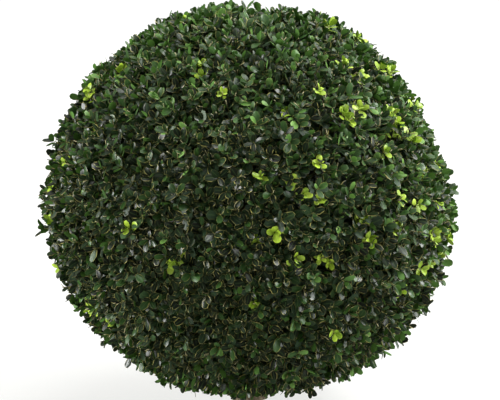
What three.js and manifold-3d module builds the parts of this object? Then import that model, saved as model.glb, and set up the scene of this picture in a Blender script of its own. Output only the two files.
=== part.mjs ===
// A clipped ball of box, a small-leaved evergreen shrub, rooted in level ground on one short stem.
// Millimetres, +Z up, front towards -Y. The origin is the centre of the stem's flat cut at ground level.
import * as THREE from "three";
import { mergeVertices } from "three/addons/utils/BufferGeometryUtils.js";
import Module from "manifold-3d";

const wasm = await Module();
wasm.setup();

// The ball
const BALL_WIDTH = 592;
const BALL_HEIGHT = 574;
const BALL_ABOVE_GROUND = 6; // of the even ball, before the shears flattened it underneath
const BALL_DETAIL = 14; // each edge of the icosahedron is split into this many plus one
const BALL_CENTRE = new THREE.Vector3(0, 0, BALL_ABOVE_GROUND + BALL_HEIGHT / 2);

// Where the shears left the ball full or flat. out is how far it stands proud of the even ball,
// and spread is the angle in degrees over which that fades. Azimuth 0 is +X and 90 is the back.
const SWELLS = [
  { azimuth: 0, elevation: 30, out: -11, spread: 19 }, // flat upper right
  { azimuth: 0, elevation: 62, out: 7, spread: 10 },
  { azimuth: 0, elevation: -27, out: 7, spread: 24 }, // full lower right
  { azimuth: 180, elevation: 67, out: 7, spread: 14 }, // full beside the top
  { azimuth: 0, elevation: 90, out: -5, spread: 9 },
  { azimuth: 180, elevation: 8, out: 2, spread: 18 },
  { azimuth: 180, elevation: -42, out: -6, spread: 12 }, // flat lower left
  { azimuth: 180, elevation: -64, out: 7, spread: 9 },
  { azimuth: 180, elevation: -28, out: 3, spread: 8 },
  { azimuth: 0, elevation: -90, out: -13, spread: 13 }, // pressed flat underneath
  { azimuth: 0, elevation: -68, out: 4, spread: 12 },
  { azimuth: -90, elevation: 12, out: 3, spread: 28 },
  { azimuth: -120, elevation: 42, out: -4, spread: 20 },
  { azimuth: -55, elevation: -30, out: 4, spread: 20 },
  { azimuth: 95, elevation: 20, out: -5, spread: 24 },
  { azimuth: 60, elevation: -18, out: 5, spread: 20 },
  { azimuth: 130, elevation: -8, out: 4, spread: 16 },
];

// The small hollows and pillows of clipped foliage: waves round the ball along a slanting axis.
const RIPPLES = [
  { axis: [0.8, 0.5, 0.33], waves: 11, depth: 1.6, phase: 0.4 },
  { axis: [-0.45, 0.75, 0.48], waves: 13, depth: 1.5, phase: 2.1 },
  { axis: [0.3, -0.42, 0.86], waves: 12, depth: 1.5, phase: 4.0 },
  { axis: [-0.62, -0.66, 0.42], waves: 19, depth: 1.1, phase: 1.2 },
  { axis: [0.55, -0.8, -0.24], waves: 23, depth: 0.9, phase: 5.3 },
];

// The stem, which runs up inside the ball to the fork where the boughs start
const STEM_HEIGHT = 150;
const STEM_FOOT_RADIUS = 20; // where the root flare has died away
const STEM_FORK_RADIUS = 15.5;
const STEM_FLARE = 9; // how far the root flare spreads the stem at the ground
const STEM_FLARE_HEIGHT = 16; // the height over which the flare falls to about a third
const STEM_ROOT_LOBES = 5;
const STEM_LOBE_SHARE = 0.28; // how deep the hollows between the roots are, as a share of the flare
const STEM_LEAN = new THREE.Vector2(9, -5); // how far the fork stands off the foot
const STEM_SIDES = 20;
const STEM_RINGS = 14;
const STEM_CROWN = 5; // the fork end is domed by this much

const STEM_GAP = 0.5; // between the stem and the foliage cut round it

// Spherical angles in degrees to a unit vector.
function directionOf(azimuth, elevation) {
  const turn = THREE.MathUtils.degToRad(azimuth);
  const rise = THREE.MathUtils.degToRad(elevation);
  return new THREE.Vector3(Math.cos(rise) * Math.cos(turn), Math.cos(rise) * Math.sin(turn), Math.sin(rise));
}

// How far the surface stands off the even ball in a direction.
function unevenness(direction) {
  let off = 0;
  for (const { azimuth, elevation, out, spread } of SWELLS) {
    const angle = THREE.MathUtils.radToDeg(direction.angleTo(directionOf(azimuth, elevation)));
    off += out * Math.exp(-0.5 * (angle / spread) ** 2);
  }
  for (const { axis, waves, depth, phase } of RIPPLES) {
    const along = direction.dot(new THREE.Vector3(...axis).normalize());
    off += depth * Math.sin(waves * along + phase);
  }
  return off;
}

function foliageBall() {
  const geometry = new THREE.IcosahedronGeometry(1, BALL_DETAIL);
  const halves = new THREE.Vector3(BALL_WIDTH / 2, BALL_WIDTH / 2, BALL_HEIGHT / 2);
  moveVertices(geometry, (direction) => {
    const evenBall = direction.clone().multiply(halves);
    return evenBall.addScaledVector(direction, unevenness(direction)).add(BALL_CENTRE);
  });
  return geometry;
}

// The stem as a lofted limb: its rings taper, lean and, near the ground, spread into root lobes.
// grow widens it all round and stretches it at both ends.
function stem(grow) {
  const geometry = new THREE.CylinderGeometry(1, 1, 1, STEM_SIDES, STEM_RINGS);
  geometry.rotateX(Math.PI / 2);
  moveVertices(geometry, ({ x, y, z }) => {
    const up = z + 0.5; // 0 at the ground, 1 at the fork
    const height = up * STEM_HEIGHT;
    const turn = Math.atan2(y, x);
    const lobes = 1 - STEM_LOBE_SHARE * (1 - Math.cos(STEM_ROOT_LOBES * turn)) / 2;
    const flare = STEM_FLARE * lobes * Math.exp(-height / STEM_FLARE_HEIGHT);
    const radius = THREE.MathUtils.lerp(STEM_FOOT_RADIUS, STEM_FORK_RADIUS, up) + flare + grow;
    const fromAxis = Math.hypot(x, y);
    const dome = up === 1 ? STEM_CROWN * (1 - fromAxis) : 0;
    const stretch = grow * Math.sign(z) * (Math.abs(z) === 0.5 ? 1 : 0);
    return new THREE.Vector3(
      STEM_LEAN.x * up ** 2 + radius * fromAxis * Math.cos(turn),
      STEM_LEAN.y * up ** 2 + radius * fromAxis * Math.sin(turn),
      height + dome + stretch,
    );
  });
  return geometry;
}

// Puts each vertex where place sends it, given its place in the primitive.
function moveVertices(geometry, place) {
  const points = geometry.attributes.position;
  const point = new THREE.Vector3();
  for (let i = 0; i < points.count; i += 1) {
    point.copy(place(point.fromBufferAttribute(points, i)));
    points.setXYZ(i, point.x, point.y, point.z);
  }
}

function solidOf(geometry) {
  const bare = geometry.clone();
  bare.deleteAttribute("normal");
  bare.deleteAttribute("uv");
  const merged = mergeVertices(bare, 1e-4);
  return new wasm.Manifold(
    new wasm.Mesh({
      numProp: 3,
      vertProperties: merged.attributes.position.array,
      triVerts: new Uint32Array(merged.index.array),
    }),
  );
}

function geometryOf(solid) {
  const mesh = solid.getMesh();
  const geometry = new THREE.BufferGeometry();
  geometry.setAttribute("position", new THREE.BufferAttribute(mesh.vertProperties, 3));
  geometry.setIndex(new THREE.BufferAttribute(mesh.triVerts, 1));
  geometry.computeVertexNormals();
  return geometry;
}

function named(name, geometry, material) {
  const mesh = new THREE.Mesh(geometry, material);
  mesh.name = name;
  return mesh;
}

const leaves = new THREE.MeshStandardMaterial({ color: "#33422a", roughness: 0.42, metalness: 0 });
const bark = new THREE.MeshStandardMaterial({ color: "#8a7a62", roughness: 0.85, metalness: 0 });

const plant = new THREE.Group();
const ballRoundStem = solidOf(foliageBall()).subtract(solidOf(stem(STEM_GAP)));
plant.add(named("stem", stem(0), bark));
plant.add(named("foliage_ball", geometryOf(ballRoundStem), leaves));

export default plant;
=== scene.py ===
import math

import bpy
import numpy as np
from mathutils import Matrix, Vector
from mathutils.bvhtree import BVHTree


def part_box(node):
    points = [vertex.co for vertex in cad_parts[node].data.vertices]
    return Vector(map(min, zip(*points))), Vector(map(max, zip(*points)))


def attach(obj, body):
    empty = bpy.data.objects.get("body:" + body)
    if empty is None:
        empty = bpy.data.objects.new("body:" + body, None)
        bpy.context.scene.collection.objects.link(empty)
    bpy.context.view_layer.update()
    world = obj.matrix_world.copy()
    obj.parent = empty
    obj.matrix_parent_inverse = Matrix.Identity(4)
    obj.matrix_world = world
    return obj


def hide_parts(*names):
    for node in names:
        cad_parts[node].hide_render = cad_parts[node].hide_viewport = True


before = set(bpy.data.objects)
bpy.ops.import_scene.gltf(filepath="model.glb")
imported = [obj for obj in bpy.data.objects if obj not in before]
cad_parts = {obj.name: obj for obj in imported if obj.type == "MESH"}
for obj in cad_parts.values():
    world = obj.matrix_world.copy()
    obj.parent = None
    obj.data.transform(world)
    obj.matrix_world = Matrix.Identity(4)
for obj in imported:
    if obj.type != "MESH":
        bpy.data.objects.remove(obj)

bpy.ops.object.select_all(action="DESELECT")
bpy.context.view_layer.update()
mm = 0.001
up = np.array([0.0, 0.0, 1.0])


def some(things, chosen):
    # the same rows out of every array in a dictionary
    return {key: values[chosen] for key, values in things.items()}


def unit(vectors):
    return vectors / np.maximum(np.linalg.norm(vectors, axis=-1, keepdims=True), 1e-12)


def linear(hexColour):
    parts = [int(hexColour[i:i + 2], 16) / 255 for i in (1, 3, 5)]
    return [p / 12.92 if p <= 0.04045 else ((p + 0.055) / 1.055) ** 2.4 for p in parts] + [1.0]


def addNode(tree, kind, links=None, **settings):
    # links: input name or number -> an output socket, or a plain value
    node = tree.nodes.new(kind)
    for key, value in settings.items():
        setattr(node, key, value)
    for key, value in (links or {}).items():
        if isinstance(value, bpy.types.NodeSocket):
            tree.links.new(value, node.inputs[key])
        else:
            node.inputs[key].default_value = value
    return node


def newMaterial(name):
    material = bpy.data.materials.new(name)
    material.use_nodes = True
    tree = material.node_tree
    return material, tree, tree.nodes["Principled BSDF"]


def meshPiece(name, points, faces, material):
    # points is (n, 3), and faces is a list of arrays, each (m, corners)
    mesh = bpy.data.meshes.new(name)
    corners = np.concatenate([f.reshape(-1) for f in faces]).astype(np.int32)
    sizes = np.concatenate([np.full(len(f), f.shape[1]) for f in faces]).astype(np.int32)
    starts = np.concatenate([[0], np.cumsum(sizes)[:-1]]).astype(np.int32)
    mesh.vertices.add(len(points))
    mesh.vertices.foreach_set("co", np.ascontiguousarray(points, np.float32).reshape(-1))
    mesh.loops.add(len(corners))
    mesh.loops.foreach_set("vertex_index", corners)
    mesh.polygons.add(len(sizes))
    mesh.polygons.foreach_set("loop_start", starts)
    mesh.polygons.foreach_set("loop_total", sizes)
    mesh.polygons.foreach_set("use_smooth", np.full(len(sizes), True))
    mesh.materials.append(material)
    mesh.update()
    piece = bpy.data.objects.new(name, mesh)
    bpy.context.scene.collection.objects.link(piece)
    return piece


# the clipped outline is read off the foliage ball of the frame
ballLow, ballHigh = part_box("foliage_ball")
ballCentre = np.array((ballLow + ballHigh) / 2)
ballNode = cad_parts["foliage_ball"]
ballTree = BVHTree.FromPolygons(
    [v.co.copy() for v in ballNode.data.vertices],
    [tuple(p.vertices) for p in ballNode.data.polygons],
)
outside = 0.6  # metres, well clear of the ball


def reachOf(directions):
    # how far the clipped surface lies from the ball's centre, in each direction
    reach = np.empty(len(directions))
    for i, direction in enumerate(directions):
        start = Vector(ballCentre + direction * outside)
        hit = ballTree.ray_cast(start, Vector(-direction))[0]
        reach[i] = (hit - Vector(ballCentre)).length
    return reach


# the growth rule: each tier of limbs ends on an evenly spread set of tips, and each limb leaves the
# nearest limb of the tier before it
growth = {
    "seed": 41,
    "forks": (0.35, 1.0),  # share of its parent's length at which a limb leaves
    "sooner": 0.25,  # the limbs with farther to go leave this much sooner
    "soonest": 0.2,
    "follow": 0.7,  # how far a limb first keeps to its parent's heading
    "thinner": 0.9,  # the most a limb's radius is, against its parent's at the fork
    "vigour": (1.0, 0.08),  # size of the growth on a shoot: usual, and its spread
    "vigourLimits": (0.8, 1.2),
    "hollow": 0.8,  # no shoot grows where the surface is nearer than this, against the ball's half height
    "proudShare": 0.1,  # of the shoots, missed by the shears
    "proud": (0.006, 0.036),  # how far those stand past their neighbours, as a share of the radius
    # reach is the share of the ball's radius at which a tier ends, sway how far its tips turn aside,
    # lift how much they turn up to the light, clump how far they draw together round their parent,
    # and radius, at the fork and at the tip, is in mm
    "branches": {"count": 58, "jitter": 0.09, "reach": (0.60, 0.72), "sway": 0.2, "lift": 0.25,
                 "clump": 0.0, "radius": (4.4, 2.6)},
    "twigs": {"count": 430, "jitter": 0.035, "reach": (0.88, 0.96), "sway": 0.2, "lift": 0.25,
              "clump": 0.0, "radius": (2.3, 1.25)},
    "shoots": {"count": 5200, "jitter": 0.011, "reach": (0.925, 0.985), "sway": 0.26, "lift": 0.25,
               "clump": 0.06, "radius": (1.0, 0.55)},
}
rng = np.random.default_rng(growth["seed"])


def spreadDirections(tier):
    # an even lattice over the ball, each direction knocked a little off its place
    steps = np.arange(tier["count"]) + 0.5
    rise = 1 - 2 * steps / tier["count"]
    turn = math.pi * (3 - math.sqrt(5)) * steps
    flat = np.sqrt(1 - rise ** 2)
    even = np.stack([flat * np.cos(turn), flat * np.sin(turn), rise], axis=1)
    return unit(even + rng.normal(0, tier["jitter"], even.shape))


def curvesOf(limbs, shares):
    # points and headings on every limb at these shares of its length: (limbs, shares, 3) each
    s = np.atleast_2d(shares)[:, :, None]
    start, end = limbs["start"][:, None], limbs["end"][:, None]
    leave, arrive = limbs["leave"][:, None], limbs["arrive"][:, None]
    points = (
        (2 * s ** 3 - 3 * s ** 2 + 1) * start
        + (s ** 3 - 2 * s ** 2 + s) * leave
        + (3 * s ** 2 - 2 * s ** 3) * end
        + (s ** 3 - s ** 2) * arrive
    )
    headings = (
        (6 * s ** 2 - 6 * s) * (start - end)
        + (3 * s ** 2 - 4 * s + 1) * leave
        + (3 * s ** 2 - 2 * s) * arrive
    )
    return points, unit(headings)


def growTier(parents, tier, directions, extra=0.0):
    # extra adds to the share of the radius, limb by limb
    count = len(directions)
    share = rng.uniform(*tier["reach"], count) + extra
    tips = ballCentre + directions * (reachOf(directions) * share)[:, None]
    gaps = np.linalg.norm(parents["end"][None] - tips[:, None], axis=2)
    parent = gaps.argmin(axis=1)
    towardsParent = unit(parents["end"][parent] - ballCentre) - directions
    directions = unit(directions + tier["clump"] * towardsParent)
    tips = ballCentre + directions * (reachOf(directions) * share)[:, None]
    nearness = gaps[np.arange(count), parent]
    along = rng.uniform(*growth["forks"], count) - growth["sooner"] * (nearness > np.median(nearness))
    along = np.clip(along, growth["soonest"], 1)
    nearest = {}
    for i in np.argsort(nearness):
        nearest.setdefault(int(parent[i]), int(i))
    along[list(nearest.values())] = 1.0  # one child carries each parent's line on
    pick = some({key: parents[key] for key in ("start", "end", "leave", "arrive")}, parent)
    forks, headings = curvesOf(pick, along[:, None])
    forks, headings = forks[:, 0], headings[:, 0]
    span = np.linalg.norm(tips - forks, axis=1, keepdims=True)
    leave = unit(growth["follow"] * headings + unit(tips - forks)) * span
    arrive = unit(directions + up * tier["lift"] + rng.normal(0, tier["sway"], (count, 3))) * span
    atFork = parents["radii"][parent, 0] * (1 - along) + parents["radii"][parent, 1] * along
    first, last = np.array(tier["radius"]) * mm
    radii = np.stack([np.minimum(first, atFork * growth["thinner"]), np.full(count, last)], axis=1)
    return {"start": forks, "end": tips, "leave": leave, "arrive": arrive, "radii": radii}


def limbPiece(name, limbs, material, steps, sides, swell=0.0):
    # one tapering tube for each limb, closed at both ends
    shares = np.linspace(0, 1, steps + 1)
    points, headings = curvesOf(limbs, shares)
    count = len(points)
    aside = unit(np.cross(headings, unit(rng.normal(0, 1, (count, 1, 3)))))
    other = np.cross(headings, aside)
    radii = limbs["radii"][:, :1] + (limbs["radii"][:, 1:] - limbs["radii"][:, :1]) * shares
    radii = radii * (1 + swell * rng.normal(0, 1, radii.shape))
    turn = np.arange(sides) * 2 * math.pi / sides
    ring = np.cos(turn)[:, None] * aside[:, :, None] + np.sin(turn)[:, None] * other[:, :, None]
    points = points[:, :, None] + ring * radii[:, :, None, None]
    index = np.arange(count * (steps + 1) * sides).reshape(count, steps + 1, sides)
    near, far = index[:, :-1], index[:, 1:]
    walls = np.stack([near, np.roll(near, -1, 2), np.roll(far, -1, 2), far], axis=-1).reshape(-1, 4)
    return meshPiece(name, points.reshape(-1, 3), [walls, index[:, 0, ::-1], index[:, -1]], material)


# the stem's top is the fork that all the boughs leave
stemLow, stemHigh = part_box("stem")
stemTop = np.array([v.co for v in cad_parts["stem"].data.vertices if v.co.z > stemHigh.z - 1 * mm])
fork = stemTop.mean(axis=0)

boughs = {
    "count": 9,
    "jitter": 0.12,
    "reach": (0.30, 0.44),
    "radius": (9.0, 5.2),  # mm, at the fork and at the tip
    "underFork": (6, 70),  # mm down the stem at which a bough leaves it
    "steep": 0.9,  # how far upwards it leaves the stem
    "ownRise": 0.2,  # share of its own rise that it has there
    "lift": 0.2,
}
boughCount = boughs["count"]
boughDirections = spreadDirections(boughs)
boughReach = reachOf(boughDirections) * rng.uniform(*boughs["reach"], boughCount)
boughTips = ballCentre + boughDirections * boughReach[:, None]
boughStarts = fork - up * rng.uniform(*boughs["underFork"], boughCount)[:, None] * mm
boughSpan = np.linalg.norm(boughTips - boughStarts, axis=1, keepdims=True)
boughLimbs = {
    "start": boughStarts,
    "end": boughTips,
    "leave": unit(boughDirections * [1, 1, boughs["ownRise"]] + up * boughs["steep"]) * boughSpan,
    "arrive": unit(boughDirections + up * boughs["lift"]) * boughSpan,
    "radii": np.tile(np.array(boughs["radius"]) * mm, (boughCount, 1)),
}
branchLimbs = growTier(boughLimbs, growth["branches"], spreadDirections(growth["branches"]))
twigLimbs = growTier(branchLimbs, growth["twigs"], spreadDirections(growth["twigs"]))
shootDirections = spreadDirections(growth["shoots"])
halfHeight = (ballHigh.z - ballLow.z) / 2
shootDirections = shootDirections[reachOf(shootDirections) > growth["hollow"] * halfHeight]
shootCount = len(shootDirections)

# fresh lime growth comes in tufts, each the ends of a shoot or two
tufts = {
    # listed one by one: turn from the front to the right and height, both in degrees, and shoots in the tuft
    "placed": [
        (-18, 46, 2), (-10, 38, 1), (43, 48, 1), (49, 42, 2), (58, 50, 1), (26, 37, 1), (30, 29, 2),
        (10, 31, 1), (52, 29, 2), (19, 17, 1), (3, 14, 1), (13, 10, 2), (20, 6, 1), (31, 1, 2), (42, 19, 1),
        (57, 20, 2), (62, 10, 1), (45, 5, 1), (52, 2, 1), (43, -3, 2), (34, -6, 1), (1, -3, 2), (7, -1, 1),
        (20, -11, 2), (12, -10, 1), (-54, 24, 1), (-83, 13, 1), (-61, -5, 1), (-34, -3, 1), (-22, -11, 2),
        (-57, -25, 1), (2, -20, 1), (27, -29, 1), (48, -21, 1), (55, -14, 1), (64, -7, 2), (-95, 52, 1),
        (-36, 74, 1), (-72, 12, 2), (-80, 4, 1), (-74, -4, 2), (-78, -18, 2), (-70, 34, 2), (-64, 44, 2),
        (-60, -34, 1),
    ],
    "scattered": 320,
    "seed": 23,
    "bright": (0.9, 0.0, 0.4),  # the side with the most young growth
    "brightPast": 0.62,  # how far a tuft must lie that way, in ball radii, and how far back
    "behindPast": 0.3,
    "onBright": 0.55,  # share of the scattered tufts that are kept there, behind, and in front
    "behind": 0.45,
    "inFront": 0.02,
    "size": (0.66, 0.95),  # of the young growth, against an old shoot
    "proud": (0.004, 0.024),  # how far it stands past its neighbours, as a share of the radius
    "pairs": 3,  # leaf pairs that are young on such a shoot
    "broader": 1.12,  # young leaves, against old ones
}
tuftRng = np.random.default_rng(tufts["seed"])
turns, heights, sizes = np.array(tufts["placed"], float).T
turns, heights = np.radians(turns), np.radians(heights)
level = np.cos(heights)
placed = np.stack([np.sin(turns) * level, -np.cos(turns) * level, np.sin(heights)], axis=1)
scattered = unit(tuftRng.normal(0, 1, (tufts["scattered"], 3)))
kept = np.where(scattered[:, 1] > tufts["behindPast"], tufts["behind"], tufts["inFront"])
kept = np.where(scattered @ np.array(tufts["bright"]) > tufts["brightPast"], tufts["onBright"], kept)
scattered = scattered[tuftRng.uniform(0, 1, len(scattered)) < kept]
sizes = [*sizes, *tuftRng.integers(1, 3, len(scattered))]  # one shoot or two
youngShoots = []
for direction, size in zip(np.concatenate([placed, scattered]), sizes):
    youngShoots += list(np.argsort(-(shootDirections @ direction))[:int(size)])
youngShoots = np.unique(youngShoots)

isProud = rng.uniform(0, 1, shootCount) < growth["proudShare"]
extra = np.where(isProud, rng.uniform(*growth["proud"], shootCount), 0.0)
extra[youngShoots] = tuftRng.uniform(*tufts["proud"], len(youngShoots))
shootLimbs = growTier(twigLimbs, growth["shoots"], shootDirections, extra)
shootLimbs["vigour"] = np.clip(rng.normal(*growth["vigour"], shootCount), *growth["vigourLimits"])
shootLimbs["vigour"][youngShoots] = tuftRng.uniform(*tufts["size"], len(youngShoots))
for limbs in (twigLimbs, branchLimbs):
    limbs["vigour"] = np.ones(len(limbs["start"]))
print("limbs grown:", boughCount, len(branchLimbs["start"]), len(twigLimbs["start"]), shootCount)

# twig ends left by the shears, pale and bare, a little inside the leaves
stubs = {
    "count": 4600,
    "from": (0.85, 1.0),  # share of the shoot's length at which a stub leaves it
    "length": (7, 13),  # mm
    "aside": 0.6,
    "bow": 1.3,  # over 1 bows a stub more
    "radius": (0.8, 0.6),  # mm
}
stubShoots = some(shootLimbs, rng.integers(0, shootCount, stubs["count"]))
stubStarts, stubHeadings = curvesOf(stubShoots, rng.uniform(*stubs["from"], (stubs["count"], 1)))
stubStarts, stubHeadings = stubStarts[:, 0], stubHeadings[:, 0]
stubLength = rng.uniform(*stubs["length"], (stubs["count"], 1)) * mm
stubLeave = unit(stubHeadings + rng.normal(0, stubs["aside"], (stubs["count"], 3)))
stubArrive = unit(stubHeadings + rng.normal(0, stubs["aside"], (stubs["count"], 3)))
stubLimbs = {
    "start": stubStarts,
    "end": stubStarts + unit(stubLeave + stubArrive) * stubLength,
    "leave": stubLeave * stubLength * stubs["bow"],
    "arrive": stubArrive * stubLength * stubs["bow"],
    "radii": np.tile(np.array(stubs["radius"]) * mm, (stubs["count"], 1)),
}

barks = {
    # grain is the width of a crack with its ridge, in mm; on twigs it is drawn coarse enough to show
    "old box bark": {"crack": "#5a4e3c", "ridge": "#9a8c70", "grain": 6, "roughness": 0.8},
    "twig bark": {"crack": "#5d5238", "ridge": "#8d8260", "grain": 3, "roughness": 0.8},
    "green shoot skin": {"crack": "#6f7230", "ridge": "#a09a4c", "grain": 5, "roughness": 0.55},
    "clipped twig bark": {"crack": "#8a8458", "ridge": "#c4bc90", "grain": 4, "roughness": 0.6},
}
cracks = {
    "edges": (0.35, 0.65),  # of the noise, from all crack to all ridge
    "strength": 0.5,
    "height": 0.4,  # mm
}


def barkMaterial(name):
    # dry corky bark: cracks darken it and scatter the light, so that old bark has no shine, and the thin
    # skin of a young shoot has a little
    look = barks[name]
    material, tree, shader = newMaterial(name)
    place = addNode(tree, "ShaderNodeTexCoord").outputs["Object"]
    scale = 1 / (look["grain"] * mm)
    noise = addNode(tree, "ShaderNodeTexNoise", {"Vector": place, "Scale": scale, "Detail": 4.0})
    ramp = addNode(tree, "ShaderNodeValToRGB", {0: noise.outputs["Fac"]})
    colours = (look["crack"], look["ridge"])
    for element, position, colour in zip(ramp.color_ramp.elements, cracks["edges"], colours):
        element.position = position
        element.color = linear(colour)
    tree.links.new(ramp.outputs[0], shader.inputs["Base Color"])
    bump = addNode(
        tree, "ShaderNodeBump",
        {"Height": noise.outputs["Fac"], "Strength": cracks["strength"], "Distance": cracks["height"] * mm},
    )
    tree.links.new(bump.outputs[0], shader.inputs["Normal"])
    shader.inputs["Roughness"].default_value = look["roughness"]
    return material


def pushOut(piece, name, kind, grain, depth, group="", guide=None):
    # presses a pattern's relief into a mesh, grain and depth in mm
    texture = bpy.data.textures.new(name, kind)
    texture.noise_scale = grain * mm
    relief = piece.modifiers.new(name, "DISPLACE")
    relief.texture = texture
    relief.texture_coords = "OBJECT" if guide else "LOCAL"
    relief.texture_coords_object = guide
    relief.strength = depth * mm
    relief.mid_level = 0.5
    relief.vertex_group = group
    bpy.context.view_layer.objects.active = piece
    bpy.ops.object.modifier_apply(modifier=name)


oldBark = barkMaterial("old box bark")
stemRelief = {
    "cuts": 3,
    "flat": 5,  # mm over the ground where the relief fades to the flat cut
    "stretch": 4,  # cracks run this much longer up the stem than across it
    "ridges": (7, 3.2),  # grain and depth, mm
    "cracks": (3, 1.2),
}
stemPiece = bpy.data.objects.new("stemBark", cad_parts["stem"].data.copy())
bpy.context.scene.collection.objects.link(stemPiece)
bpy.ops.object.select_all(action="DESELECT")
stemPiece.select_set(True)
bpy.context.view_layer.objects.active = stemPiece
bpy.ops.object.mode_set(mode="EDIT")
bpy.ops.mesh.select_all(action="SELECT")
bpy.ops.mesh.remove_doubles(threshold=0.01 * mm)
bpy.ops.mesh.tris_convert_to_quads()
bpy.ops.mesh.subdivide(number_cuts=stemRelief["cuts"])
bpy.ops.object.mode_set(mode="OBJECT")
overGround = stemPiece.vertex_groups.new(name="overGround")
for v in stemPiece.data.vertices:
    overGround.add([v.index], min(1, v.co.z / (stemRelief["flat"] * mm)), "REPLACE")
bpy.ops.object.empty_add()
guide = bpy.context.active_object
guide.scale = (1, 1, stemRelief["stretch"])
bpy.context.view_layer.update()
pushOut(stemPiece, "ridges", "CLOUDS", *stemRelief["ridges"], "overGround", guide)
pushOut(stemPiece, "cracks", "VORONOI", *stemRelief["cracks"], "overGround", guide)
bpy.data.objects.remove(guide)
stemPiece.data.materials.clear()
stemPiece.data.materials.append(oldBark)
stemPiece.data.shade_smooth()
print("stem made:", len(stemPiece.data.polygons))

boughRelief = {
    "roundness": 10,
    "steps": 64,
    "knobs": (9, 2.6),  # grain and depth, mm
    "cracks": (3, 0.9),
}
bpy.ops.curve.primitive_bezier_curve_add(location=(0, 0, 0))
boughPiece = bpy.context.active_object
boughPiece.name = "boughs"
boughCurve = boughPiece.data
boughCurve.splines.clear()
boughCurve.dimensions = "3D"
boughCurve.bevel_depth = 1 * mm
boughCurve.bevel_resolution = boughRelief["roundness"]
boughCurve.resolution_u = boughRelief["steps"]
boughCurve.use_fill_caps = True
for i in range(boughCount):
    spline = boughCurve.splines.new("BEZIER")
    spline.bezier_points.add(1)
    places = (boughLimbs["start"][i], boughLimbs["end"][i])
    thirds = (boughLimbs["leave"][i] / 3, boughLimbs["arrive"][i] / 3)
    for point, place, third, radius in zip(spline.bezier_points, places, thirds, boughs["radius"]):
        point.handle_left_type = point.handle_right_type = "FREE"
        point.co = place
        point.handle_left = place - third
        point.handle_right = place + third
        point.radius = radius
bpy.ops.object.convert(target="MESH")
boughPiece = bpy.context.active_object
pushOut(boughPiece, "knobs", "CLOUDS", *boughRelief["knobs"])
pushOut(boughPiece, "cracks", "VORONOI", *boughRelief["cracks"])
boughPiece.data.materials.clear()
boughPiece.data.materials.append(oldBark)
boughPiece.data.shade_smooth()
print("boughs made:", len(boughPiece.data.polygons))

limbPieces = [
    boughPiece,
    limbPiece("branches", branchLimbs, oldBark, steps=8, sides=7, swell=0.03),
    limbPiece("twigs", twigLimbs, barkMaterial("twig bark"), steps=6, sides=5),
    limbPiece("shoots", shootLimbs, barkMaterial("green shoot skin"), steps=2, sides=3),
    limbPiece("clippedTwigs", stubLimbs, barkMaterial("clipped twig bark"), steps=2, sides=3),
]
print("limbs made:", len(limbPieces))

leaf = {
    "length": (15.8, 2.2),  # mm: usual length and its spread
    "shortest": 8.0,
    "longest": 23.0,
    "slimness": (0.6, 0.06),  # width as a share of length
    "fullest": 1.16,  # over 1 puts the widest place past the middle
    "blunt": 0.52,  # under 1 rounds the ends
    "tip": 0.955,  # under 1 flattens the tip
    "fold": (0.26, 0.14),  # rise of the rim over the midrib, as a share of the half width, and its spread
    "roll": (0.12, 0.4),  # how far the rim curls back down
    "bendScatter": 0.1,
    "turnScatter": 0.2,  # radians round the shoot
    "toSky": 0.35,  # how much a face turns to the sky, against how much it turns outwards
    "offShoot": 0.4,  # mm from the shoot's middle to the leaf's foot
    "cells": 8,  # the leaves share an 8 by 8 sheet of shades
    "cellFoot": 0.05,  # a leaf's foot, greatest half width and length in its cell, as shares of the cell
    "cellHalf": 0.44,
    "cellLength": 0.9,
    "ribFrom": 0.84,  # how far inward the midrib's pale line starts, from 0 at the rim to 1 at the midrib
    "mottleSize": 3.16,  # mm
    "patchSize": 7.18,  # mm, of the stretches of rim that are pale, a pale margin with a painted highlight
    "most": 190000,  # triangles in one piece
}


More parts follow.
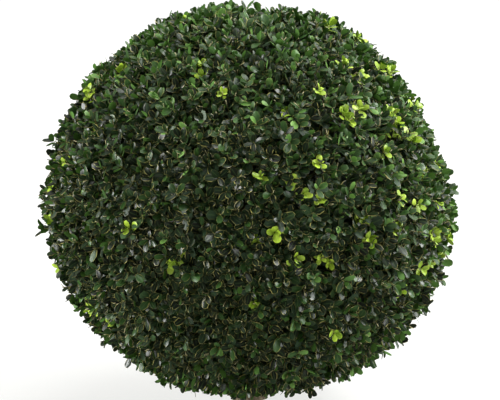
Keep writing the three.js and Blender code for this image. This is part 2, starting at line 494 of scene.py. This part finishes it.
def leafMaterial(name, look):
    # living leaf with a waxy skin over a dark, slightly uneven blade: a few small sharp lights, a thin pale
    # rim that is partly a painted highlight, painted shade at the stalk and painted light at the tip, and a
    # paler, matt underside
    material, tree, shader = newMaterial(name)
    shape = addNode(tree, "ShaderNodeUVMap", uv_map="leafShape")
    shape = addNode(tree, "ShaderNodeSeparateXYZ", {0: shape.outputs[0]})
    inward, along = shape.outputs[0], shape.outputs[1]  # rim to midrib, and stalk to tip, each 0 to 1
    place = addNode(tree, "ShaderNodeUVMap", uv_map="OFBake").outputs[0]
    cells = addNode(tree, "ShaderNodeVectorMath", {0: place, 1: (leaf["cells"],) * 3}, operation="MULTIPLY")
    cell = addNode(tree, "ShaderNodeVectorMath", {0: cells.outputs[0]}, operation="FLOOR").outputs[0]
    chance = addNode(tree, "ShaderNodeTexWhiteNoise", {"Vector": cell}, noise_dimensions="3D")
    chances = addNode(tree, "ShaderNodeSeparateColor", {0: chance.outputs["Color"]})  # of gloss and of a rim
    tint = addNode(tree, "ShaderNodeValToRGB", {0: chance.outputs["Value"]})
    ramp = tint.color_ramp
    while len(ramp.elements) < len(look["blades"]):
        ramp.elements.new(0.5)
    for i, colour in enumerate(look["blades"]):
        ramp.elements[i].position = (i / (len(look["blades"]) - 1)) ** look["rare"]
        ramp.elements[i].color = linear(colour)
    sheetSize = leaf["cells"] * leaf["length"][0]  # mm, as a leaf about fills its cell
    mottle = addNode(
        tree, "ShaderNodeTexNoise", {"Vector": place, "Scale": sheetSize / leaf["mottleSize"], "Detail": 2.0}
    )
    deep = addNode(
        tree, "ShaderNodeMapRange",
        {0: mottle.outputs["Fac"], 1: 0.35, 2: 0.65, 3: 1 - look["mottle"], 4: 1 + look["mottle"]},
    )
    # painted shade and painted light: the blade is darkened towards the stalk, where the leaf meets the
    # shoot, and lightened towards the tip
    paler = addNode(
        tree, "ShaderNodeMapRange", {0: along, 1: 0.1, 2: 0.95, 3: look["stalkShade"], 4: look["tipLight"]}
    )
    deep = addNode(tree, "ShaderNodeMath", {0: deep.outputs[0], 1: paler.outputs[0]}, operation="MULTIPLY")
    blade = addNode(
        tree, "ShaderNodeVectorMath", {0: tint.outputs[0], "Scale": deep.outputs[0]}, operation="SCALE"
    )
    ribMask = addNode(
        tree, "ShaderNodeMapRange", {0: inward, 1: leaf["ribFrom"], 2: 1.0, 3: 0.0, 4: look["ribShow"]}
    )
    ribbed = addNode(
        tree, "ShaderNodeMix", {0: ribMask.outputs[0], 6: blade.outputs[0], 7: linear(look["rib"])},
        data_type="RGBA",
    )
    # the rim: a pale margin, which box leaves have, painted bright and in broken stretches as a painted
    # highlight where the rolled edge catches the light
    rimShow = addNode(
        tree, "ShaderNodeMapRange",
        {0: chances.outputs[2], 1: 0.0, 2: 1.0, 3: look["rimShow"][0], 4: look["rimShow"][1]},
    )
    patchy = addNode(
        tree, "ShaderNodeTexNoise", {"Vector": place, "Scale": sheetSize / leaf["patchSize"], "Detail": 0.0}
    )
    patchy = addNode(
        tree, "ShaderNodeMapRange", {0: patchy.outputs["Fac"], 1: 0.42, 2: 0.6, 3: look["rimFaint"], 4: 1.0}
    )
    rimShow = addNode(
        tree, "ShaderNodeMath", {0: rimShow.outputs[0], 1: patchy.outputs[0]}, operation="MULTIPLY"
    )
    rimMask = addNode(
        tree, "ShaderNodeMapRange",
        {0: inward, 1: look["rimWidth"] * 1.25, 2: look["rimWidth"] * 0.75, 3: 0.0, 4: rimShow.outputs[0]},
    )
    rimmed = addNode(
        tree, "ShaderNodeMix", {0: rimMask.outputs[0], 6: ribbed.outputs[2], 7: linear(look["rim"])},
        data_type="RGBA",
    )
    below = addNode(tree, "ShaderNodeNewGeometry").outputs["Backfacing"]
    underside = addNode(
        tree, "ShaderNodeMix", {0: look["paler"], 6: blade.outputs[0], 7: linear(look["under"])},
        data_type="RGBA",
    )
    turned = addNode(
        tree, "ShaderNodeMix", {0: below, 6: rimmed.outputs[2], 7: underside.outputs[2]},
        data_type="RGBA",
    )
    tree.links.new(turned.outputs[2], shader.inputs["Base Color"])
    gloss = addNode(tree, "ShaderNodeMath", {0: chances.outputs[1], 1: look["glossyFew"]}, operation="POWER")
    rough = addNode(
        tree, "ShaderNodeMapRange",
        {0: gloss.outputs[0], 1: 0.0, 2: 1.0, 3: look["roughness"][0], 4: look["roughness"][1]},
    )
    dull = addNode(tree, "ShaderNodeMix", {0: below, 2: rough.outputs[0], 3: look["dull"]}, data_type="FLOAT")
    tree.links.new(dull.outputs[0], shader.inputs["Roughness"])
    shader.inputs["Specular IOR Level"].default_value = look["specular"]
    return material


def leafPattern(across, rows):
    # a leaf's points as (side, along, halfWidth, inward) and its faces; side is -1 to 1 over the blade
    along = (1 - np.cos(math.pi * np.arange(1, rows + 1) / (rows + 1))) / 2
    halfWidth = np.sin(math.pi * along ** leaf["fullest"]) ** leaf["blunt"]
    side = np.linspace(-1, 1, across)
    points = [(0.0, 0.0, 0.0, 0.0)]
    for t, w in zip(along, halfWidth):
        points += [(s, t, w, 1 - abs(s)) for s in side]
    points.append((0.0, leaf["tip"], 0.0, 0.0))
    starts = [1 + r * across for r in range(rows)]
    triangles, quads = [], []
    for j in range(across - 1):
        triangles.append((0, starts[0] + j + 1, starts[0] + j))
        for near, far in zip(starts, starts[1:]):
            quads.append((near + j, near + j + 1, far + j + 1, far + j))
        triangles.append((starts[-1] + j, starts[-1] + j + 1, len(points) - 1))
    return np.array(points), np.array(triangles), np.array(quads)


def leafPiece(name, leaves, material, across, rows):
    # leaves holds base, along, face (each n by 3), length, width, fold, roll and bend (each n)
    pattern, triangles, quads = leafPattern(across, rows)
    side, along, halfWidth, inward = pattern.T
    count, size = len(leaves["base"]), len(pattern)
    length, fold = leaves["length"][:, None], leaves["fold"][:, None]
    half = leaves["width"][:, None] / 2 * halfWidth
    bend = leaves["bend"][:, None]
    forward = length * (along - 0.33 * bend ** 2 * along ** 3)  # a bent leaf reaches less far
    sideways = half * side * (1 - 0.25 * fold ** 2)  # and a folded one is narrower
    lift = half * (fold * np.abs(side) - leaves["roll"][:, None] * side ** 4) - length * bend * along ** 2
    points = (
        leaves["base"][:, None]
        + np.cross(leaves["along"], leaves["face"])[:, None] * sideways[..., None]
        + leaves["along"][:, None] * forward[..., None]
        + leaves["face"][:, None] * lift[..., None]
    ).reshape(-1, 3)
    offsets = (np.arange(count) * size)[:, None, None]
    faces = [(offsets + triangles).reshape(-1, 3), (offsets + quads).reshape(-1, 4)]
    piece = meshPiece(name, points, faces, material)
    order = np.concatenate([f.reshape(-1) for f in faces])
    which = order % size
    cell = leaves["cell"][order // size]
    inCell = [0.5 + leaf["cellHalf"] * side * halfWidth, leaf["cellFoot"] + leaf["cellLength"] * along]
    cellCorner = [cell % leaf["cells"], cell // leaf["cells"]]
    sheet = (np.stack(inCell, axis=1)[which] + np.stack(cellCorner, axis=1)) / leaf["cells"]
    shape = np.stack([inward, along], axis=1)[which]
    for mapName, values in (("OFBake", sheet), ("leafShape", shape)):
        layer = piece.data.uv_layers.new(name=mapName)
        layer.data.foreach_set("uv", values.astype(np.float32).reshape(-1))
    return piece


def leavesOn(shoots, plan):
    # opposite pairs, each a quarter turn from the last, counted back from the shoot's tip
    count = len(shoots["start"])
    fine = np.linspace(0, 1, 33)
    points, _ = curvesOf(shoots, fine)
    steps = np.linalg.norm(np.diff(points, axis=1), axis=2)
    fromTip = np.concatenate([np.zeros((count, 1)), np.cumsum(steps[:, ::-1], axis=1)], axis=1)
    back = np.array(plan["back"]) * mm * shoots["vigour"][:, None]
    shares = np.array([np.interp(back[i], fromTip[i], 1 - fine) for i in range(count)])
    place, heading = curvesOf(shoots, shares)
    reference = unit(rng.normal(0, 1, (count, 1, 3)))
    aside = unit(reference - (reference * heading).sum(2, keepdims=True) * heading)
    other = np.cross(heading, aside)
    result = []
    for pair in range(len(plan["back"])):
        for half in (0, 1):
            turn = (pair + 2 * half) * math.pi / 2 + rng.normal(0, leaf["turnScatter"], (count, 1))
            spread = np.radians(rng.normal(plan["spread"][pair], plan["scatter"], (count, 1)))
            away = np.cos(turn) * aside[:, pair] + np.sin(turn) * other[:, pair]
            ahead = heading[:, pair]
            along = unit(np.cos(spread) * ahead + np.sin(spread) * away)
            face = np.sin(spread) * ahead - np.cos(spread) * away
            light = unit(place[:, pair] - ballCentre) + leaf["toSky"] * up
            face = face + plan["facing"] * light + rng.normal(0, plan["twist"], (count, 3))
            face = unit(face - (face * along).sum(1, keepdims=True) * along)
            length = rng.normal(*leaf["length"], count) * plan["size"][pair] * shoots["vigour"]
            length = np.clip(length, leaf["shortest"] * plan["size"][pair], leaf["longest"]) * mm
            result.append({
                "base": place[:, pair] + away * leaf["offShoot"] * mm,
                "along": along,
                "face": face,
                "length": length,
                "width": length * rng.normal(*leaf["slimness"], count),
                "fold": rng.normal(*leaf["fold"], count),
                "roll": rng.uniform(*leaf["roll"], count),
                "bend": rng.normal(plan["bend"], leaf["bendScatter"], count),
                "cell": rng.integers(0, leaf["cells"] ** 2, count),
                "pair": np.full(count, pair),
                "shoot": np.arange(count),
            })
    return {key: np.concatenate([r[key] for r in result]) for key in result[0]}


matureLook = {
    "blades": ["#131a11", "#172013", "#1a2916", "#162415", "#21361a", "#325323"],
    "rare": 0.75,  # under 1 gives fewer leaves the last shades
    "mottle": 0.12,
    # the blade is painted darker at the stalk and lighter at the tip: painted shade and painted light
    "stalkShade": 0.8,
    "tipLight": 1.15,
    "rib": "#5d7842",
    "ribShow": 0.35,
    "under": "#6d9e45",  # the matt underside is paler and has no rim
    "paler": 0.6,
    "dull": 0.6,
    # the rim is a pale margin with a painted highlight: its colour, width and how much of it shows
    "rim": "#b3ac62",
    "rimWidth": 0.16,
    "rimShow": (0.05, 0.95),
    "rimFaint": 0.08,
    "roughness": (0.21, 0.42),
    "glossyFew": 0.75,  # under 1 gives fewer leaves the low roughness
    "specular": 0.27,
}
# the leaves within lie in shade, yet their blades are painted lighter than the outer ones: painted fill light
# in the gaps
shadedLook = matureLook | {
    "blades": ["#233223", "#2b3b2a", "#324531", "#283828", "#395134", "#455f3a"],
    "rimShow": (0.0, 0.5),
}
# a lit copy of the mature leaf: lighter, greener blades for the side the light falls from, painted light
litLook = matureLook | {
    "blades": ["#27391f", "#314827", "#3c572e", "#37522d", "#4c7136", "#6a9246"],
    "specular": 0.2,
    "rimShow": (0.0, 0.75),
}
youngLook = {
    "blades": ["#90b02c", "#abc83c", "#7f9e2e", "#bbd54d"],
    "rare": 1.0,
    "mottle": 0.06,
    # the blade is painted darker at the stalk and lighter at the tip: painted shade and painted light
    "stalkShade": 0.75,
    "tipLight": 1.15,
    "rib": "#c7ec6a",
    "ribShow": 0.4,
    "under": "#97b640",
    "paler": 0.5,
    "dull": 0.55,
    # the rim, as on the old leaves, is a pale margin with a painted highlight
    "rim": "#c9e361",
    "rimWidth": 0.08,
    "rimShow": (0.3, 0.8),
    "rimFaint": 0.6,
    "roughness": (0.3, 0.42),
    "glossyFew": 1.0,
    "specular": 0.35,
}
matureSkin = leafMaterial("mature box leaf", matureLook)
shadedSkin = leafMaterial("shaded box leaf", shadedLook)
litSkin = leafMaterial("sunny box leaf", litLook)
youngSkin = leafMaterial("young box leaf", youngLook)

pairPlan = {
    "back": (0.6, 3.8, 8.4, 14.0),  # mm back from the shoot's tip
    "spread": (34, 51, 65, 75),  # degrees from the shoot
    "size": (0.84, 1.0, 1.04, 1.0),
    "scatter": 13,
    "facing": 0.25,
    "twist": 0.26,
    "bend": 0.1,
}
# old leaves on the twigs and branches within are larger, and close the view through the ball
deepPlan = pairPlan | {
    "back": tuple(range(3, 63, 6)),
    "spread": (70,) * 10,
    "size": (1.4,) * 10,
    "facing": 0.5,
}
corePlan = deepPlan | {"back": tuple(range(2, 62, 3)), "spread": (70,) * 20, "size": (1.5,) * 20}
leaves = leavesOn(shootLimbs, pairPlan)
deepLeaves = leavesOn(twigLimbs, deepPlan)
coreLeaves = leavesOn(branchLimbs, corePlan)
deepLeaves = {key: np.concatenate([deepLeaves[key], coreLeaves[key]]) for key in deepLeaves}

onYoung = np.isin(leaves["shoot"], youngShoots)
young = onYoung & (leaves["pair"] < tufts["pairs"])
regrown = np.where(onYoung & ~young, 1 / shootLimbs["vigour"][leaves["shoot"]], 1)
leaves["length"] *= regrown
leaves["width"] *= regrown * np.where(young, tufts["broader"], 1)

# painted light: towards the side the light falls from, more shoots get the lighter, greener lit leaves
lit = {
    "side": (0.5, 0.4, 0.75),  # the side the light falls from, where more leaves are painted lighter and greener: painted light
    "middle": 0.35,  # share of the shoots that are greener half way round
    "change": 0.9,  # how much more of them towards that side
    "limits": (0.04, 0.9),  # the share on the dark and on the sunny side
    "pairs": 2,  # leaf pairs that are greener on such a shoot
}
towardsLight = shootDirections @ np.array(lit["side"])
litShare = np.clip(lit["middle"] + lit["change"] * towardsLight, *lit["limits"])
litShoots = np.flatnonzero(rng.uniform(0, 1, shootCount) < litShare)
greener = ~young & (leaves["pair"] < lit["pairs"]) & np.isin(leaves["shoot"], litShoots)
tips = ~young & ~greener & (leaves["pair"] == 0)
outer = ~young & ~greener & (leaves["pair"] == 1)
inner = ~young & (leaves["pair"] >= 2)


def leafPieces(name, chosen, material, across, rows):
    # leaves of one kind, in as few pieces as hold them; across and rows set the faces of a leaf
    count = len(chosen["base"])
    number = math.ceil(count * (across - 1) * rows * 2 / leaf["most"])
    return [
        leafPiece(f"{name}{i + 1}", some(chosen, part), material, across, rows)
        for i, part in enumerate(np.array_split(np.arange(count), number))
    ]


foliagePieces = [
    *leafPieces("tipLeaves", some(leaves, tips), matureSkin, across=5, rows=4),
    *leafPieces("outerLeaves", some(leaves, outer), matureSkin, across=5, rows=3),
    *leafPieces("innerLeaves", some(leaves, inner), shadedSkin, across=3, rows=2),
    *leafPieces("deepLeaves", deepLeaves, shadedSkin, across=3, rows=2),
    *leafPieces("litLeaves", some(leaves, greener), litSkin, across=5, rows=4),
    *leafPieces("youngLeaves", some(leaves, young), youngSkin, across=5, rows=4),
]
print("leaves dealt:", len(leaves["base"]), "deep:", len(deepLeaves["base"]), "young:", young.sum())

for piece in foliagePieces:
    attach(piece, "root")
    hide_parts("foliage_ball")
for piece in limbPieces:
    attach(piece, "root")
    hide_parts("foliage_ball")
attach(stemPiece, "root")
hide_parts("stem")

studio = {
    "floor": "#888886",
    "floorLight": "#f4f4f2",
    "floorGlow": 0.85,  # lit from beneath like a product table, which thins the shadow under the plant
    "floorRadius": 30,
    "world": "#ffffff",
    "brightSide": (0.35, 0.25, 0.75),  # overhead, a little to the right and behind
    "fades": 0.1,  # the cosine from the bright side at which the glow has faded to its dimmest
    "dimmest": 0.07,
    "brightest": 0.72,
    "seen": 1.05,  # the world behind the plant, a little over white
    "elevation": 7.0,
    "lens": 120.0,
    "aim": (0.002, 0.0, 0.2962),
    "distance": 2.445,
}
bpy.ops.mesh.primitive_circle_add(
    vertices=96, radius=studio["floorRadius"], fill_type="NGON", location=(0, 0, 0)
)
floor = bpy.context.active_object
floor.name = "floor"
floorMaterial, _, floorShader = newMaterial("studio floor")  # matt card, which mirrors nothing
floorShader.inputs["Base Color"].default_value = linear(studio["floor"])
floorShader.inputs["Roughness"].default_value = 1.0
floorShader.inputs["Specular IOR Level"].default_value = 0.0
floorShader.inputs["Emission Color"].default_value = linear(studio["floorLight"])
floorShader.inputs["Emission Strength"].default_value = studio["floorGlow"]
floor.data.materials.append(floorMaterial)
floor.visible_glossy = False  # the waxy leaves mirror the lamps, and not the floor

world = bpy.data.worlds.new("studio")
bpy.context.scene.world = world
world.use_nodes = True
sky = world.node_tree
direction = addNode(sky, "ShaderNodeTexCoord").outputs["Generated"]
towards = addNode(
    sky, "ShaderNodeVectorMath", {0: direction, 1: tuple(Vector(studio["brightSide"]).normalized())},
    operation="DOT_PRODUCT",
)
glow = addNode(
    sky, "ShaderNodeMapRange",
    {0: towards.outputs["Value"], 1: studio["fades"], 2: 1.0, 3: studio["dimmest"], 4: studio["brightest"]},
    interpolation_type="SMOOTHSTEP",
)
backdrop = sky.nodes["Background"]
backdrop.inputs["Color"].default_value = linear(studio["world"])
sky.links.new(glow.outputs[0], backdrop.inputs["Strength"])
seen = addNode(sky, "ShaderNodeBackground", {"Color": linear(studio["world"]), "Strength": studio["seen"]})
isSeen = addNode(sky, "ShaderNodeLightPath").outputs["Is Camera Ray"]
mixed = addNode(sky, "ShaderNodeMixShader", {0: isSeen, 1: backdrop.outputs[0], 2: seen.outputs[0]})
sky.links.new(mixed.outputs[0], sky.nodes["World Output"].inputs["Surface"])

# far, broad sources, so that the floor is lit evenly all over
lamps = {
    # where each shines from, its strength, and its width in degrees
    "key": ((0.8, -0.08, 0.74), 3.5, 26),
    "left": ((-0.92, -0.08, 0.22), 2.4, 30),
    "low left": ((-0.92, -0.1, 0.1), 1.9, 28),
    "low right": ((0.92, 0.1, 0.1), 1.7, 28),
    "back": ((0.45, 0.6, 0.5), 0.6, 36),
    "overhead": ((0.12, 0.1, 1.0), 1.2, 40),
}
for name, (fromWhere, strength, width) in lamps.items():
    light = bpy.data.lights.new(name, "SUN")
    light.energy = strength
    light.angle = math.radians(width)
    lamp = bpy.data.objects.new(name, light)
    lamp.rotation_euler = Vector(fromWhere).to_track_quat("Z", "Y").to_euler()
    bpy.context.scene.collection.objects.link(lamp)

camera = bpy.data.objects.new("camera", bpy.data.cameras.new("camera"))
bpy.context.scene.collection.objects.link(camera)
bpy.context.scene.camera = camera
camera.data.lens = studio["lens"]
rise = math.radians(studio["elevation"])
aim = Vector(studio["aim"])
camera.location = aim + Vector((0, -math.cos(rise), math.sin(rise))) * studio["distance"]
camera.rotation_euler = (camera.location - aim).to_track_quat("Z", "Y").to_euler()
bpy.context.scene.view_settings.view_transform = "Standard"
print("studio set")
